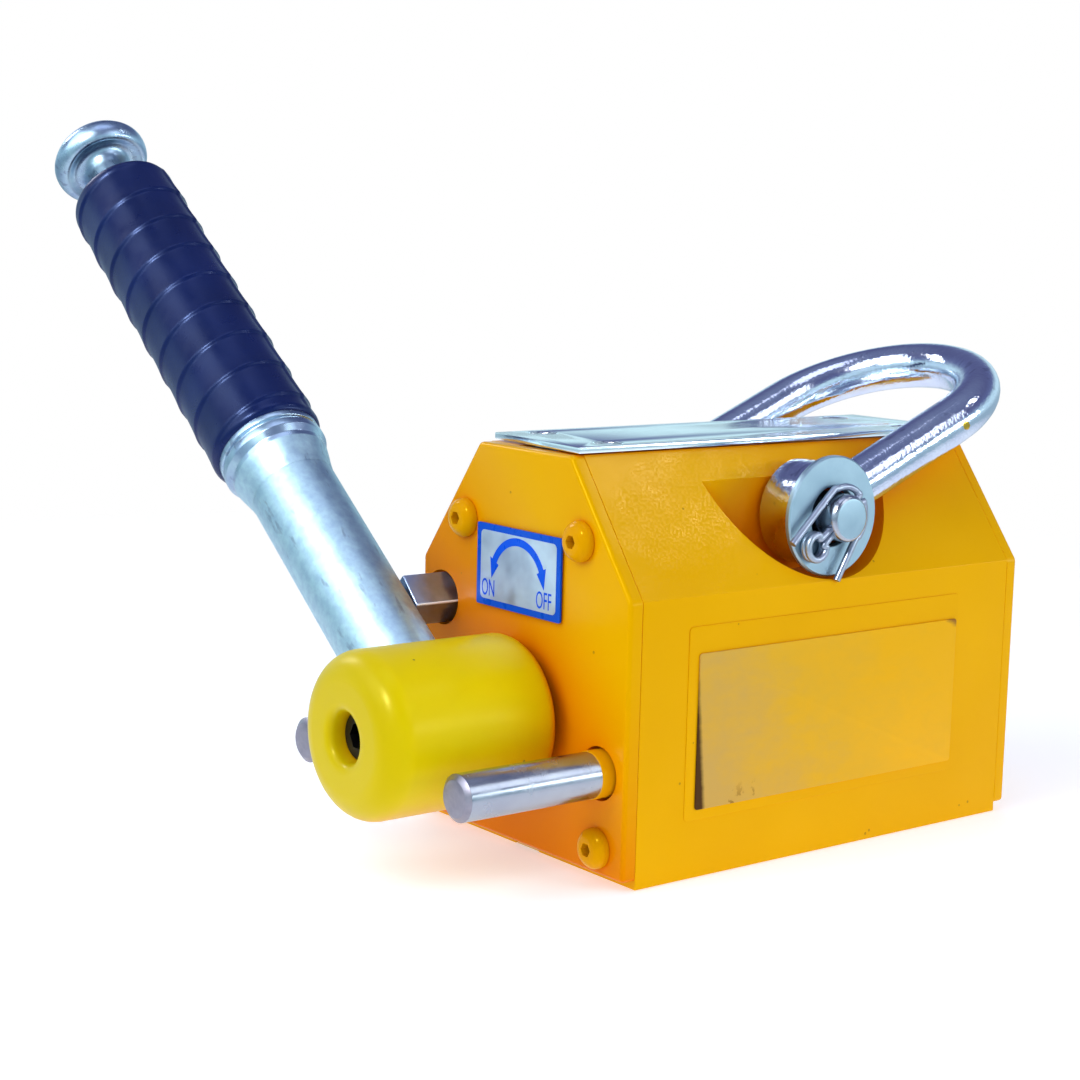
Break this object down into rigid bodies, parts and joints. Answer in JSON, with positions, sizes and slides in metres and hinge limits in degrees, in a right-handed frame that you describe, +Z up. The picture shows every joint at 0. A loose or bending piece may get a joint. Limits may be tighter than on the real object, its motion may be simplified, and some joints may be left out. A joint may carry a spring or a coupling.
{
  "type": "permanent lifting magnet",
  "caption": "Small permanent lifting magnet: a chamfered two-pole steel body with a lever-turned magnetic rotor and a swinging shackle.",
  "frame": {"origin": "middle of the lifting face, on the non-magnetic strip between the two pole faces", "axes": "+X across the body, +Y towards the rear cover, -Y towards the lever, +Z up"},
  "size_m": [0.1605, 0.1412, 0.1263],
  "materials": {
    "yellow_paint": "gloss",
    "brass": "satin",
    "aluminium": "satin",
    "magnet_nickel": "bright nickel",
    "zinc_steel": "bright zinc plate",
    "dark_zinc": "dull zinc plate",
    "black_steel": "black oxide",
    "lemon_plastic": "satin",
    "navy_rubber": "satin",
    "label_film": "gloss",
    "plate_film": "satin",
    "forged_zinc": "bright plated"
  },
  "bodies": {
    "housing": {"left_pole_block": "yellow_paint", "right_pole_block": "yellow_paint", "bottom_strip": "brass", "keeper_bar": "aluminium", "stator_magnet_front": "magnet_nickel", "stator_magnet_rear": "magnet_nickel", "top_plate": "zinc_steel", "plate_screw_1": "zinc_steel", "plate_screw_2": "zinc_steel", "plate_screw_3": "zinc_steel", "plate_screw_4": "zinc_steel", "front_cover": "yellow_paint", "rear_cover": "yellow_paint", "front_screw_1": "yellow_paint", "front_screw_2": "yellow_paint", "front_screw_3": "yellow_paint", "front_screw_4": "yellow_paint", "rear_screw_1": "yellow_paint", "rear_screw_2": "yellow_paint", "rear_screw_3": "yellow_paint", "rear_screw_4": "yellow_paint", "front_bush": "brass", "rear_bush": "brass", "stop_pin_on": "zinc_steel", "stop_pin_off": "zinc_steel", "lock_stud": "dark_zinc", "lock_spring": "zinc_steel", "mode_label": "label_film", "rating_plate_right": "plate_film", "rating_plate_left": "plate_film", "shackle_pin": "zinc_steel", "shackle_washer": "zinc_steel", "cotter_pin": "zinc_steel"},
    "lever": {"rotor_pole_left": "dark_zinc", "rotor_pole_right": "dark_zinc", "rotor_magnet": "magnet_nickel", "rotor_disc_front": "aluminium", "rotor_disc_rear": "aluminium", "rotor_shaft_front": "zinc_steel", "rotor_shaft_rear": "zinc_steel", "shaft_key": "zinc_steel", "hub": "zinc_steel", "hub_washer": "zinc_steel", "hub_screw": "black_steel", "hub_cap": "lemon_plastic", "handle_tube": "zinc_steel", "handle_collar": "zinc_steel", "grip": "navy_rubber", "end_bush": "brass", "spring_seat": "brass"},
    "button": {"button_knob": "zinc_steel", "push_rod": "zinc_steel", "button_spring": "zinc_steel"},
    "lock": {"lock_pin": "zinc_steel"},
    "shackle_bow": {"shackle": "forged_zinc"}
  },
  "joints": [
    {"name": "lever_turn", "type": "hinge", "parent": "housing", "child": "lever", "pos_m": [0, -0.065, 0.0244], "axis": [0, -1, 0], "range_deg": [-125, 20.2]},
    {"name": "button_push", "type": "slide", "parent": "lever", "child": "button", "axis": [0.7923, 0, -0.6101], "range_m": [0, 0.0065], "stiffness_N_per_m": 400, "springref_m": -0.004, "deforming": ["button_spring"]},
    {"name": "lock_pin_slide", "type": "slide", "parent": "housing", "child": "lock", "axis": [0, -1, 0], "range_m": [0, 0.003], "stiffness_N_per_m": 300, "deforming": ["lock_spring"]},
    {"name": "shackle_swing", "type": "hinge", "parent": "housing", "child": "shackle_bow", "pos_m": [0, 0, 0.0588], "axis": [1, 0, 0], "range_deg": [0, 134.4]}
  ]
}
